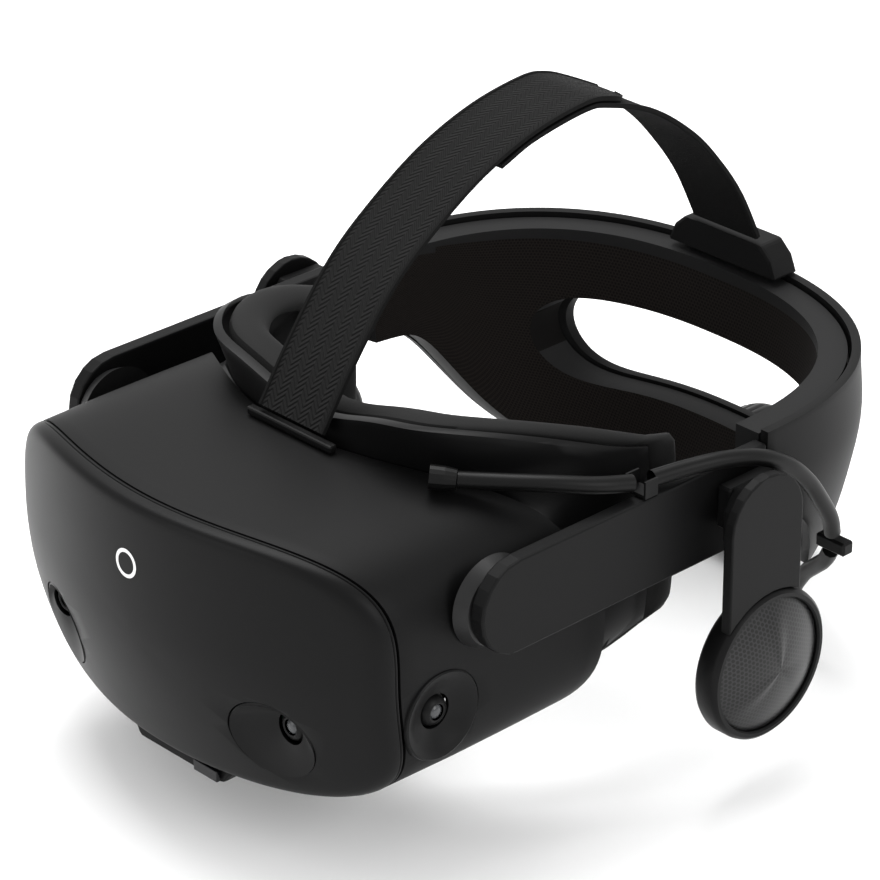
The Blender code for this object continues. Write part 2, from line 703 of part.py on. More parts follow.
# ---------------------------------------------------------------- tether
def make_tether():
    front = tube("tether_front", smooth_path(CORD_FRONT, 8), CORD_RADIUS, "cable_rubber")
    middle = tube("tether_middle", smooth_path(CORD_MIDDLE, 16), CORD_RADIUS, "cable_rubber")
    rear = tube("tether_rear", smooth_path(CORD_REAR, 40), CORD_RADIUS, "cable_rubber")
    low = FLOOR_Z + 0.05
    coil = turned("tether_coil", [(COIL_OUTER, low + COIL_HEIGHT - 6), (COIL_OUTER - 4, low + COIL_HEIGHT),
                                  (COIL_INNER + 4, low + COIL_HEIGHT), (COIL_INNER, low + COIL_HEIGHT - 6),
                                  (COIL_INNER, low), (COIL_OUTER, low)],
                  (COIL_CENTRE[0], COIL_CENTRE[1], 0), (0, 0, 1), "cable_rubber", closed=True, steps=28)
    plug = box("tether_plug", (COIL_CENTRE[0] - 20, COIL_CENTRE[1] - 9, low), (COIL_CENTRE[0] + 20, COIL_CENTRE[1] + 9, low + 11),
               "cable_rubber", edge=1.2)
    return [front, middle, rear, coil, plug]


# ---------------------------------------------------------------- build
def main():
    visor = [make_cover(), make_shell(), make_strap_bar(), make_gland()]
    visor += make_chin_camera() + make_inside() + make_gasket()
    arms = [make_arm_clip()]
    for side, suffix in ((1, "left"), (-1, "right")):
        visor += make_front_dish(side, suffix) + make_side_dish(side, suffix)
        boss, pin = make_hinge_side(side, suffix)
        visor.append(boss)
        arms += [pin, make_arm(side, suffix), make_tongue(side, suffix)]
        bracket, carriage, speaker = make_speaker(side, suffix)
        arms.append(bracket)
        hang_on(f"swing_axis_{suffix}", (side * SWING_AXIS[0], SPEAKER_Y, SWING_AXIS[1]), [carriage])
        hang_on(f"height_slide_{suffix}", (side * 119.2, SPEAKER_Y, 60), speaker)
    pods = make_lens_pods()
    hang_on("lens_slide_left", (LENS_X, 40, LENS_Z), pods["left"])
    hang_on("lens_slide_right", (-LENS_X, 40, LENS_Z), pods["right"])
    slider = box("ipd_slider", (-46, 36, -15.4), (-34, 42, -12.6), "satin_plastic", edge=0.5, segments=1)
    hang_on("ipd_slide_axis", (-40, 39, -14), [slider])
    for name, y in (("volume_up_button", 44), ("volume_down_button", 56)):
        button = box(name, (34, y - 4, -14.4), (44, y + 4, -12.6), "satin_plastic", edge=0.5, segments=1)
        hang_on(name + "_axis", (39, y, -13.5), [button])
    front, rear = make_straps()
    visor.append(front)
    hang_on("tilt_axis", (0, *TILT_AXIS), visor)
    hang_on("size_slide", (0, 150, 61), arms)
    hang_on("dial_axis", (0, 300, DIAL_Z), [make_dial()])
    make_halo()
    make_strap_mount()
    make_rear_clip()
    make_tether()


clear_scene()
PARTS = collection("vr_headset")
CUTTERS = collection("cutters")
main()
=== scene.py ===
"""Looks of the tethered headset: camera, cable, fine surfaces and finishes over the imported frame."""
import math

import bmesh
import bpy
import numpy as np
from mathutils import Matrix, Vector

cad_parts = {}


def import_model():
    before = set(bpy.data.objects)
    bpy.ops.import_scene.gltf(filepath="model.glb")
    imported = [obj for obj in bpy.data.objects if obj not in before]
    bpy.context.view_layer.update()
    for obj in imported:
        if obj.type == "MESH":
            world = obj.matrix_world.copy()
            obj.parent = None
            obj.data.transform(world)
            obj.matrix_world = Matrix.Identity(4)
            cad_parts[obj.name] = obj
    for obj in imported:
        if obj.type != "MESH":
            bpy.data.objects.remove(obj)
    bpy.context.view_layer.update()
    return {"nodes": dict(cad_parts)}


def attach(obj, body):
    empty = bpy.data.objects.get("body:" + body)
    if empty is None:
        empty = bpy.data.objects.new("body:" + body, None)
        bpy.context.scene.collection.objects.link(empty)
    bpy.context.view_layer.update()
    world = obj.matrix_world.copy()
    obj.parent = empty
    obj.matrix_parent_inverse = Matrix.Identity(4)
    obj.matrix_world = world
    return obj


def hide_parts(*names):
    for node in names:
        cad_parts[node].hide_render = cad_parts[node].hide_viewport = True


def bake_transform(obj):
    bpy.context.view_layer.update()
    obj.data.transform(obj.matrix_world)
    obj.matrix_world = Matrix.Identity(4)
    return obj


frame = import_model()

NODES = frame["nodes"]
ORIGIN = np.array((0.0, 152.0, -41.0))


def world(p):
    """A design point in millimetres, as metres in the row frame."""
    return (np.asarray(p, float) - ORIGIN) * 0.001


# ---------------------------------------------------------------- camera and light
scene = bpy.context.scene
scene.render.engine = "CYCLES"
scene.render.resolution_x = scene.render.resolution_y = 880
scene.view_settings.view_transform = "Standard"
camera_data = bpy.data.cameras.new("camera")
camera_data.lens, camera_data.sensor_width = 164.2, 36.0
camera_data.clip_end = 20.0
camera = bpy.data.objects.new("camera", camera_data)
scene.collection.objects.link(camera)
scene.camera = camera
AZIMUTH, ELEVATION = math.radians(46.38), math.radians(27.29)
TARGET = Vector((0.01067, -0.02986, 0.10782))
camera.location = TARGET + 1.382 * Vector((math.sin(AZIMUTH) * math.cos(ELEVATION),
                                           -math.cos(AZIMUTH) * math.cos(ELEVATION), math.sin(ELEVATION)))
camera.rotation_euler = (TARGET - camera.location).to_track_quat("-Z", "Y").to_euler()

sky = bpy.data.worlds.new("studio")
scene.world = sky
sky.use_nodes = True
sky.node_tree.nodes["Background"].inputs["Color"].default_value = (1, 1, 1, 1)
sky.node_tree.nodes["Background"].inputs["Strength"].default_value = 1.0


def lamp(name, place, size, power, aim=(0, 0, 0.08)):
    data = bpy.data.lights.new(name, "AREA")
    data.size, data.energy = size, power
    obj = bpy.data.objects.new(name, data)
    scene.collection.objects.link(obj)
    obj.location = place
    obj.rotation_euler = (Vector(aim) - Vector(place)).to_track_quat("-Z", "Y").to_euler()


lamp("key_from_above", (-0.35, 0.15, 1.25), 0.9, 16)
lamp("fill_from_right", (1.2, 0.1, 0.7), 0.7, 5)
lamp("front_fill", (-0.3, -1.3, 0.5), 0.8, 3)


# ---------------------------------------------------------------- finishes
def finish(name, colour, rough, specular=0.5, metallic=0.0, grain=0.0, grain_scale=900.0):
    """A procedural finish: one colour with a fine noise bump."""
    mat = bpy.data.materials.new(name)
    mat.use_nodes = True
    tree = mat.node_tree
    shader = tree.nodes["Principled BSDF"]
    shader.inputs["Base Color"].default_value = (*colour, 1)
    shader.inputs["Roughness"].default_value = rough
    shader.inputs["Metallic"].default_value = metallic
    shader.inputs["Specular IOR Level"].default_value = specular
    if grain:
        place = tree.nodes.new("ShaderNodeTexCoord")
        noise = tree.nodes.new("ShaderNodeTexNoise")
        noise.inputs["Scale"].default_value = grain_scale
        noise.inputs["Detail"].default_value = 3.0
        tree.links.new(place.outputs["Object"], noise.inputs["Vector"])
        add_bump(tree, noise.outputs["Fac"], grain)
    return mat


def add_bump(tree, height, depth):
    bump = tree.nodes.new("ShaderNodeBump")
    bump.inputs["Strength"].default_value = 1.0
    bump.inputs["Distance"].default_value = depth * 0.001
    tree.links.new(height, bump.inputs["Height"])
    tree.links.new(bump.outputs["Normal"], tree.nodes["Principled BSDF"].inputs["Normal"])


def maths(tree, operation, a, b=None):
    node = tree.nodes.new("ShaderNodeMath")
    node.operation = operation
    for socket, value in zip(node.inputs, (a, b)):
        if value is None:
            continue
        if isinstance(value, (int, float)):
            socket.default_value = value
        else:
            tree.links.new(value, socket)
    return node.outputs[0]


def surface_uv(tree):
    """The (u, v) outputs, in millimetres over the surface."""
    uv = tree.nodes.new("ShaderNodeUVMap")
    uv.uv_map = "mm"
    split = tree.nodes.new("ShaderNodeSeparateXYZ")
    tree.links.new(uv.outputs[0], split.inputs[0])
    return split.outputs[0], split.outputs[1]


def dots(tree, pitch, size):
    """1 inside a hexagonal array of round holes, 0 outside."""
    u, v = surface_uv(tree)
    near = None
    for shift in (0.0, 0.5):
        parts = []
        for value, stretch, grow in ((u, 1.0, 1.0), (v, math.sqrt(3.0), 3.0)):
            cell = maths(tree, "FRACT", maths(tree, "ADD", maths(tree, "DIVIDE", value, pitch * stretch), shift))
            offset = maths(tree, "SUBTRACT", cell, 0.5)
            parts.append(maths(tree, "MULTIPLY", maths(tree, "MULTIPLY", offset, offset), grow))
        distance = maths(tree, "SQRT", maths(tree, "ADD", *parts))
        near = distance if near is None else maths(tree, "MINIMUM", near, distance)
    return maths(tree, "LESS_THAN", near, size)


def tint(tree, mask, colour, other):
    mix = tree.nodes.new("ShaderNodeMix")
    mix.data_type = "RGBA"
    tree.links.new(mask, mix.inputs[0])
    mix.inputs[6].default_value = (*colour, 1)
    mix.inputs[7].default_value = (*other, 1)
    tree.links.new(mix.outputs[2], tree.nodes["Principled BSDF"].inputs["Base Color"])


def herringbone(name, colour, rough, pitch, depth):
    """Webbing with chevron ribs across it."""
    mat = finish(name, colour, rough, 0.15)
    tree = mat.node_tree
    u, v = surface_uv(tree)
    across = maths(tree, "FRACT", maths(tree, "DIVIDE", v, 6.4))
    zigzag = maths(tree, "ABSOLUTE", maths(tree, "SUBTRACT", across, 0.5))
    wave = maths(tree, "SINE", maths(tree, "MULTIPLY", maths(tree, "ADD", maths(tree, "DIVIDE", u, pitch),
                                                             maths(tree, "MULTIPLY", zigzag, 3.2)), 2 * math.pi))
    add_bump(tree, wave, depth)
    return mat


BLACK = (0.0035, 0.0035, 0.0036)
LOOK = {
    "shell": finish("shell_plastic", BLACK, 0.5, 0.10, grain=0.02, grain_scale=1600),
    "cover": finish("cover_plastic", BLACK, 0.4, 0.10, grain=0.012, grain_scale=1600),
    "satin": finish("satin_plastic", BLACK, 0.4, 0.12, grain=0.01),
    "boss": finish("boss_plastic", (0.008, 0.008, 0.0082), 0.4, 0.25, grain=0.01),
    "gloss": finish("gloss_black", (0.003, 0.003, 0.004), 0.08, 0.3),
    "lens": finish("lens_glass", (0.02, 0.02, 0.025), 0.03, 0.6),
    "bead": finish("lens_bead", (0.045, 0.047, 0.05), 0.12, 0.4),
    "cushion": finish("cushion_fabric", (0.007, 0.007, 0.007), 0.7, 0.15, grain=0.05, grain_scale=1200),
    "band": finish("cushion_band", (0.004, 0.004, 0.004), 0.9, 0.1, grain=0.15, grain_scale=2200),
    "rim": finish("pad_rim", (0.007, 0.007, 0.0072), 0.6, 0.15, grain=0.02),
    "cable": finish("cable_rubber", (0.003, 0.003, 0.003), 0.4, 0.14, grain=0.01),
    "board": finish("circuit_board", (0.01, 0.06, 0.03), 0.5),
    "steel": finish("steel", (0.4, 0.4, 0.41), 0.35, 0.5, metallic=1.0),
    "mark": finish("white_print", (0.75, 0.75, 0.75), 0.5),
    "strap": herringbone("woven_strap", (0.006, 0.006, 0.006), 0.8, 2.2, 0.35),
    "loop": finish("loop_strap", (0.005, 0.005, 0.005), 0.95, 0.1, grain=0.5, grain_scale=1500),
    "edge": finish("strap_edge", (0.004, 0.004, 0.004), 0.8, 0.1, grain=0.1, grain_scale=2500),
}
knit = finish("knit_mesh", (0.008, 0.007, 0.0065), 0.85, 0.1)
knit_holes = dots(knit.node_tree, 1.5, 0.33)
# painted shade: the knit's holes get a darker colour than the yarn between them, besides their bump
tint(knit.node_tree, knit_holes, (0.011, 0.0088, 0.0076), (0.0025, 0.0022, 0.002))
add_bump(knit.node_tree, maths(knit.node_tree, "SUBTRACT", 1.0, knit_holes), 0.2)
LOOK["knit"] = knit
grille = finish("speaker_mesh", (0.012, 0.012, 0.0125), 0.35, 0.3)
grille_holes = dots(grille.node_tree, 1.7, 0.36)
# painted shade: the grille's holes are coloured near black, standing in for the dark cavity behind them
tint(grille.node_tree, grille_holes, (0.014, 0.014, 0.0145), (0.0004, 0.0004, 0.0004))
LOOK["grille"] = grille


# ---------------------------------------------------------------- mesh helpers
def link(name, mesh, look, body, *stands_for):
    obj = bpy.data.objects.new(name, mesh)
    scene.collection.objects.link(obj)
    for key in (look if isinstance(look, tuple) else (look,)):
        mesh.materials.append(LOOK[key])
    if body:
        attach(obj, body)
    if stands_for:
        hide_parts(*stands_for)
    return obj


def soften(mesh, angle=35):
    mesh.shade_smooth()
    mesh.set_sharp_from_angle(angle=math.radians(angle))
    return mesh


def grid(name, rows, wrap=False, close_rows=False, centre=None, outward=None, angle=35):
    """A surface through rows of design points, with its millimetre lengths kept as UVs."""
    rows = [np.array(row, float) for row in rows]
    count = len(rows[0])
    bm = bmesh.new()
    uv = bm.loops.layers.uv.new("mm")
    verts = [[bm.verts.new(world(p)) for p in row] for row in rows]
    middle = rows[len(rows) // 2]
    closed = np.vstack([middle, middle[:1]])
    along = np.concatenate([[0], np.cumsum(np.linalg.norm(np.diff(closed, axis=0), axis=1))])
    stack = np.array([row[count // 3] for row in rows])
    across = np.concatenate([[0], np.cumsum(np.linalg.norm(np.diff(stack, axis=0), axis=1)), [0]])
    pairs = [(i, i + 1) for i in range(len(rows) - 1)] + ([(len(rows) - 1, 0)] if close_rows else [])
    for a, b in pairs:
        for i in range(count if wrap else count - 1):
            j = (i + 1) % count
            face = bm.faces.new((verts[a][i], verts[a][j], verts[b][j], verts[b][i]))
            high = across[b] if b > a else across[a]
            for loop, value in zip(face.loops, ((along[i], across[a]), (along[i + 1], across[a]),
                                                (along[i + 1], high), (along[i], high))):
                loop[uv].uv = value
    if centre is not None:
        hub = bm.verts.new(world(centre))
        for i in range(count):
            bm.faces.new((verts[0][(i + 1) % count], verts[0][i], hub))
    bmesh.ops.recalc_face_normals(bm, faces=bm.faces)
    if outward is not None:
        eye = Vector(world(outward))
        if sum((f.calc_center_median() - eye).dot(f.normal) * f.calc_area() for f in bm.faces) < 0:
            bmesh.ops.reverse_faces(bm, faces=bm.faces)
    mesh = bpy.data.meshes.new(name)
    bm.to_mesh(mesh)
    bm.free()
    return soften(mesh, angle)


def built(mesh, thickness=0.0, cutters=(), edge=0.0, segments=3):
    """The mesh after a wall thickness, cuts and an edge rounding, all in millimetres."""
    obj = bpy.data.objects.new("work", mesh)
    scene.collection.objects.link(obj)
    if thickness:
        mod = obj.modifiers.new("wall", "SOLIDIFY")
        mod.thickness, mod.offset = thickness * 0.001, -1.0
        mod.use_even_offset = True
    for cutter in cutters:
        mod = obj.modifiers.new("cut", "BOOLEAN")
        mod.operation, mod.solver, mod.object = "DIFFERENCE", "EXACT", cutter
    if edge:
        mod = obj.modifiers.new("edges", "BEVEL")
        mod.width, mod.segments = edge * 0.001, segments
        mod.limit_method, mod.angle_limit = "ANGLE", math.radians(50)
    bpy.context.view_layer.update()
    made = bpy.data.meshes.new_from_object(obj.evaluated_get(bpy.context.evaluated_depsgraph_get()))
    bpy.data.objects.remove(obj, do_unlink=True)
    for cutter in cutters:
        bpy.data.objects.remove(cutter, do_unlink=True)
    made.materials.clear()
    return soften(made)


def lathe(name, profile, centre, axis, steps=96, ribs=None, angle=35):
    """Turn (radius, height) points round an axis through a design point."""
    turn = Vector((0, 0, 1)).rotation_difference(Vector(axis).normalized()).to_matrix()
    bm = bmesh.new()
    uv = bm.loops.layers.uv.new("mm")
    rings, flat = [], {}
    for r, h in profile:
        ring = []
        for k in range(steps if r > 0 else 1):
            a = 2 * math.pi * k / steps
            grow = ribs(r, h, k) if ribs else 0.0
            local = Vector(((r + grow) * math.cos(a), (r + grow) * math.sin(a), h))
            vert = bm.verts.new(world(np.array(centre, float) + np.array(turn @ local)))
            flat[vert] = (local.x, local.y)
            ring.append(vert)
        rings.append(ring)
    for a, b in zip(rings, rings[1:]):
        for k in range(steps):
            j = (k + 1) % steps
            corners = [a[k % len(a)], a[j % len(a)], b[j % len(b)], b[k % len(b)]]
            unique = list(dict.fromkeys(corners))
            if len(unique) > 2:
                bm.faces.new(unique)
    bmesh.ops.recalc_face_normals(bm, faces=bm.faces)
    for face in bm.faces:
        for loop in face.loops:
            loop[uv].uv = flat[loop.vert]
    mesh = bpy.data.meshes.new(name)
    bm.to_mesh(mesh)
    bm.free()
    return soften(mesh, angle)


def drum(centre, axis, radius, depth, steps=72):
    """A plain cylinder to cut with."""
    half = depth / 2
    mesh = lathe("drum", [(0, -half), (radius, -half), (radius, half), (0, half)], centre, axis, steps)
    obj = bpy.data.objects.new("drum", mesh)
    scene.collection.objects.link(obj)
    return obj


def smooth_path(points, count):
    p = [2 * np.array(points[0], float) - np.array(points[1], float)]
    p += [np.array(q, float) for q in points]
    p.append(2 * p[-1] - p[-2])
    fine = []
    for a, b, c, d in zip(p, p[1:], p[2:], p[3:]):
        for t in np.linspace(0, 1, 16, endpoint=False):
            fine.append(0.5 * (2 * b + (c - a) * t + (2 * a - 5 * b + 4 * c - d) * t**2
                               + (3 * b - a - 3 * c + d) * t**3))
    fine.append(p[-2])
    return evenly(np.array(fine), count)


def evenly(fine, count):
    run = np.concatenate([[0], np.cumsum(np.linalg.norm(np.diff(fine, axis=0), axis=1))])
    even = np.linspace(0, run[-1], count)
    return np.stack([np.interp(even, run, fine[:, k]) for k in range(3)], axis=1)


def length_mm(points):
    return float(np.linalg.norm(np.diff(np.asarray(points), axis=0), axis=1).sum())


# ---------------------------------------------------------------- tether
CORD_FRONT = [(65.9, 77.5, 88.8), (76, 87, 88.4), (87, 99, 87.6), (95.5, 112, 85.5), (99.5, 124.6, 83.2)]
CORD_MIDDLE = [(100.5, 133, 82.2), (103.5, 146, 82.4), (108, 160, 82.4), (111.5, 174, 79.5),
               (112.4, 187, 72.5), (112, 198, 62.5), (111, 207, 51), (109.6, 214, 41), (107.6, 218, 33)]
CORD_REAR = [(103.5, 222.5, 22.5), (98.5, 225.5, 15.5), (91.5, 229, 9), (83, 233, 1), (74, 237.5, -11),
             (66, 242.5, -25), (57, 249, -34.5), (44, 258, -37.6), (28, 270, -37.9), (10, 279.5, -37.9),
             (-10, 284, -37.9), (-32, 279, -37.9), (-56, 266, -37.9), (-79, 249, -37.9),
             (-97, 226, -37.9), (-106, 203, -37.9), (-110.8, 180, -37.9)]
COIL = np.array((-46.0, 172.0))  # centre of the coil
COIL_START, COIL_INNER, COIL_OUTER = 65.3, 33.6, 60  # centreline radii
TURN_PITCH, LAYER_RISE = 6.15, 6.2
PLUG_TAIL = 75.0  # cable left for the drop into the plug
CORD_LENGTH = 6000.0
CORD_D = 6.0


def tube(name, points, look="cable"):
    """A mesh tube along design points."""
    points = np.asarray(points, float)
    tangents = np.gradient(points, axis=0)
    tangents /= np.linalg.norm(tangents, axis=1)[:, None]
    side = np.cross(tangents[0], (0, 0, 1.0))
    rows = []
    for p, t in zip(points, tangents):
        side = side - t * side.dot(t)
        side /= np.linalg.norm(side)
        up = np.cross(t, side)
        rows.append([p + 0.5 * CORD_D * (side * math.cos(a) + up * math.sin(a))
                     for a in np.linspace(0, 2 * math.pi, 16, endpoint=False)])
    return grid(name, rows, wrap=True)


def coil_path(wanted):
    """From the coil's outer side inwards, then out and in layer by layer, stopping short of the drop into the plug.
    """
    start = math.atan2(CORD_REAR[-1][1] - COIL[1], CORD_REAR[-1][0] - COIL[0])
    angle, radius, layer, inward = start, COIL_START, 0, True
    low, step = CORD_REAR[-1][2], 0.06
    points, run = [], 0.0
    while run < wanted - PLUG_TAIL:
        z = low + layer * LAYER_RISE
        points.append((COIL[0] + radius * math.cos(angle), COIL[1] + radius * math.sin(angle), z))
        angle += step
        radius += (-TURN_PITCH if inward else TURN_PITCH) * step / (2 * math.pi)
        run += radius * step
        if (inward and radius <= COIL_INNER) or (not inward and radius >= COIL_OUTER):
            for k in range(1, 15):
                angle += step
                run += radius * step
                points.append((COIL[0] + radius * math.cos(angle), COIL[1] + radius * math.sin(angle),
                               z + LAYER_RISE * (0.5 - 0.5 * math.cos(math.pi * k / 15))))
            layer += 1
            inward = not inward
            angle += step
    return np.array(points), angle, radius


front_line = smooth_path(CORD_FRONT, 60)
middle_line = smooth_path(CORD_MIDDLE, 120)


def make_cable_ends():
    """The two stretches that each cross a joint."""
    cord_front = bpy.data.objects.new("cable_front", tube("cable_front", front_line))
    cord_middle = bpy.data.objects.new("cable_middle", tube("cable_middle", middle_line))
    for obj, node, a, b, line in ((cord_front, "tether_front", "visor", "arms", front_line),
                                  (cord_middle, "tether_middle", "arms", "headband", middle_line)):
        scene.collection.objects.link(obj)
        obj.data.materials.append(LOOK["cable"])
        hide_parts(node)
        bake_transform(obj)


make_cable_ends()


def make_floor_cable():
    """The rest of the cable: down the band, along the floor, coiled, and into the plug."""
    floor_line = smooth_path(CORD_REAR, 160)
    wound_length = CORD_LENGTH - length_mm(front_line) - length_mm(middle_line) - length_mm(floor_line)
    wound, end_angle, end_radius = coil_path(wound_length)
    top = wound[-1][2]

    def coil_point(radius, angle, z):
        return (COIL[0] + radius * math.cos(angle), COIL[1] + radius * math.sin(angle), z)


    tail = [wound[-2], wound[-1], coil_point(end_radius - 3, end_angle + 0.35, top + 1.0),
            coil_point(end_radius - 12, end_angle + 0.9, top + 2.5), (COIL[0] + 4, COIL[1] + 4, top + 1.0),
            (COIL[0] + 2, COIL[1] + 1, top - 5.0), (COIL[0] + 2, COIL[1], -30.5)]
    rear_line = np.vstack([floor_line[:-1], wound[:-1], smooth_path(tail, 40)[2:]])
    curve = bpy.data.curves.new("cable_rear", "CURVE")
    curve.dimensions = "3D"
    curve.bevel_depth = CORD_D * 0.0005
    curve.bevel_resolution = 3
    curve.use_fill_caps = True
    spline = curve.splines.new("POLY")
    spline.points.add(len(rear_line) - 1)
    for point, p in zip(spline.points, rear_line):
        point.co = (*world(p), 1)
    cord_rear = bpy.data.objects.new("cable_rear", curve)
    scene.collection.objects.link(cord_rear)
    curve.materials.append(LOOK["cable"])
    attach(cord_rear, "headband")
    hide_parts("tether_rear", "tether_coil")


make_floor_cable()


# ---------------------------------------------------------------- shapes of the visor
def signed_power(value, power):
    return math.copysign(abs(value) ** power, value)


def superellipse(half_width, half_height, squareness, count, shape=None):
    fine = []
    for k in range(1441):
        angle = 2 * math.pi * k / 1440
        p = (half_width * signed_power(math.cos(angle), 2 / squareness),
             half_height * signed_power(math.sin(angle), 2 / squareness))
        fine.append(shape(*p) if shape else p)
    fine = np.array(fine)
    run = np.concatenate([[0], np.cumsum(np.linalg.norm(np.diff(fine, axis=0), axis=1))])
    even = np.linspace(0, run[-1], count + 1)[:-1]
    return [(float(np.interp(s, run, fine[:, 0])), float(np.interp(s, run, fine[:, 1]))) for s in even]


def front_y(x, z):
    rise = z - 45.0
    return -8.0 + 0.0033 * x * x + (0.001 if rise > 0 else 0.004) * rise * rise


RING = 192  # points round the visor and the gasket
VISOR_HALF_WIDTH, VISOR_HALF_HEIGHT, VISOR_SQUARENESS, VISOR_CENTRE_Z = 92.0, 49.0, 4.0, 37.0
COVER_WALL = 2.2
FRONT_DISH, FRONT_DISH_HOLE, FRONT_LENS = (53.0, 14.0), 15.2, (58.0, 19.3)
SIDE_DISH, SIDE_DISH_HOLE = (45, 24.5), 16.2


def visor_ring(scale, extra=0.0):
    ring = superellipse(VISOR_HALF_WIDTH + extra, VISOR_HALF_HEIGHT, VISOR_SQUARENESS, RING)
    return [(x * scale, VISOR_CENTRE_Z + z * scale) for x, z in ring]


def shell_rear_y(x, z):
    side = abs(x) / 93.0
    low = min(max((75.0 - z) / 45.0, 0.0), 1.0)
    return 66.0 + 41.0 * side**1.9 + 14.0 * low * low * (3 - 2 * low) * side**4


def make_cover():
    """The bowed front face, with a double groove behind its edge."""
    steps = [(0.1, 0), (0.22, 0), (0.35, 0), (0.5, 0), (0.68, 0), (0.8, 0), (0.9, 0), (0.935, 0.07), (0.965, 0.35),
             (0.98, 1.0), (0.99, 1.9), (0.997, 3.1), (1.0, 4.6), (1.0, 4.9), (0.992, 5.1), (0.992, 5.5), (1.0, 5.7),
             (1.0, 6.1), (0.992, 6.3), (0.992, 7.0)]
    rows = [[(x, front_y(x, z) + back, z) for x, z in visor_ring(scale)] for scale, back in steps]
    mesh = grid("front_cover_skin", rows, wrap=True, centre=(0, front_y(0, VISOR_CENTRE_Z), VISOR_CENTRE_Z),
                outward=(0, 60, 37))
    holes = [drum((s * FRONT_DISH[0], 5, FRONT_DISH[1]), (0, 1, 0), FRONT_DISH_HOLE, 60) for s in (1, -1)]
    mesh = built(mesh, COVER_WALL, holes, edge=0.5, segments=2)
    link("cover_skin", mesh, "cover", "visor", "front_cover")


make_cover()


def make_shell():
    """The body behind the cover, hollowed for the forehead."""
    rows = []
    for run in np.linspace(0, 1, 13):
        extra = float(np.interp(run, [0, 0.35, 0.7, 1.0], [0, 1, 1, 0.6]))
        rows.append([(x, (front_y(x, z) + 7.3) * (1 - run) + run * shell_rear_y(x, z), z)
                     for x, z in visor_ring(1.0, extra)])
    mesh = grid("main_shell_skin", rows, wrap=True, outward=(0, 60, 37))
    mesh = built(mesh, COVER_WALL, [drum((0, *SIDE_DISH), (1, 0, 0), SIDE_DISH_HOLE, 230)], edge=0.4, segments=2)
    link("shell_skin", mesh, "shell", "visor", "main_shell")


make_shell()


def ring_points(centre, radius, count=72):
    return [(centre[0] + radius * math.cos(a), centre[1] + radius * math.sin(a))
            for a in np.linspace(0, 2 * math.pi, count, endpoint=False)]


def make_cameras_and_bosses():
    """The four camera dishes with their lenses, and the tilt bosses."""
    for side, suffix in ((1, "left"), (-1, "right")):
        lens = (side * FRONT_LENS[0], FRONT_LENS[1])
        lens_y = front_y(*lens) + 4.8
        rim = [(x, front_y(x, z) + 0.5, z) for x, z in ring_points((side * FRONT_DISH[0], FRONT_DISH[1]), 14.9)]
        inner = [(x, lens_y, z) for x, z in ring_points(lens, 6.0)]
        rows = []
        for t in np.linspace(0, 1, 9):
            depth = t ** 0.8
            rows.append([(a[0] * (1 - t) + b[0] * t, a[1] * (1 - depth) + b[1] * depth, a[2] * (1 - t) + b[2] * t)
                         for a, b in zip(rim, inner)])
        link(f"front_dish_{suffix}", built(grid("dish", rows, wrap=True), 0.8), "satin", "visor",
             f"front_camera_dish_{suffix}")
        collar = [(2.9, 4.2), (3.5, 4.4), (4.6, 3.8), (5.5, 2.3), (6.1, 0), (6.1, -3)]
        bead = [(0, 4.6), (1.2, 4.4), (2.2, 3.9), (2.9, 3.0), (2.9, 0), (0, 0)]
        eye = (lens[0], lens_y + 3.6, lens[1])
        link(f"front_lens_ring_{suffix}", lathe("ring", collar, eye, (0, -1, 0)), "satin", "visor",
             f"front_camera_{suffix}")
        link(f"front_lens_{suffix}", lathe("bead", bead, eye, (0, -1, 0)), "bead", "visor")
        profile = [(16.3, -0.9), (16.0, 0.1), (15.4, 0.5), (14.4, 0.2), (12.4, -0.9), (9, -2.6), (6.3, -3.6),
                   (6.3, -5.0), (15.6, -1.8)]
        mesh = lathe("side_dish", profile, (side * 92.7, *SIDE_DISH), (side, 0, 0))
        link(f"side_dish_{suffix}", mesh, "satin", "visor", f"side_camera_dish_{suffix}")
        eye = (side * 86.0, *SIDE_DISH)
        link(f"side_lens_ring_{suffix}", lathe("ring", collar, eye, (side, 0, 0)), "satin", "visor",
             f"side_camera_{suffix}")
        link(f"side_lens_{suffix}", lathe("bead", bead, eye, (side, 0, 0)), "bead", "visor")
        profile = [(4.2, 5.7), (13.0, 5.7), (14.2, 5.2), (16.4, 0.4), (4.2, 0.4)]
        link(f"boss_{suffix}", lathe("boss", profile, (side * 93.2, 65, 60), (side, 0, 0)), "boss", "visor",
             f"pivot_boss_{suffix}")


make_cameras_and_bosses()


def make_printed_ring():
    """A plain printed ring on the cover."""
    ring_rows = []
    for radius in (3.9, 5.2):
        ring_rows.append([(x, front_y(x, z) - 0.08, z) for x, z in ring_points((-2.0, 63.0), radius)])
    link("printed_ring", grid("printed_ring", ring_rows, wrap=True), "mark", "visor")


make_printed_ring()


# ---------------------------------------------------------------- face gasket
GASKET_HALF_WIDTH, GASKET_HALF_HEIGHT, GASKET_SQUARENESS = 86.0, 54.0, 5.0
GASKET_CENTRE_Y, GASKET_CENTRE_Z = 82.5, 50.0


def gasket_shape(x, z):
    if z < 0:
        return x, z + 28.0 * math.exp(-((x / 17.0) ** 2))
    return x, z - 11.0 * math.exp(-((x / 32.0) ** 2))


def gasket_ring(scale):
    ring = superellipse(GASKET_HALF_WIDTH, GASKET_HALF_HEIGHT, GASKET_SQUARENESS, RING, gasket_shape)
    return [(x * scale, GASKET_CENTRE_Z + z * scale) for x, z in ring]


def gasket_y(x):
    side = min(abs(x) / 84.5, 1.0)
    wrap = 156.0 - 88.0 * math.sqrt(1 - side * side)
    return GASKET_CENTRE_Y + math.log1p(math.exp((wrap - GASKET_CENTRE_Y) / 3.0)) * 3.0


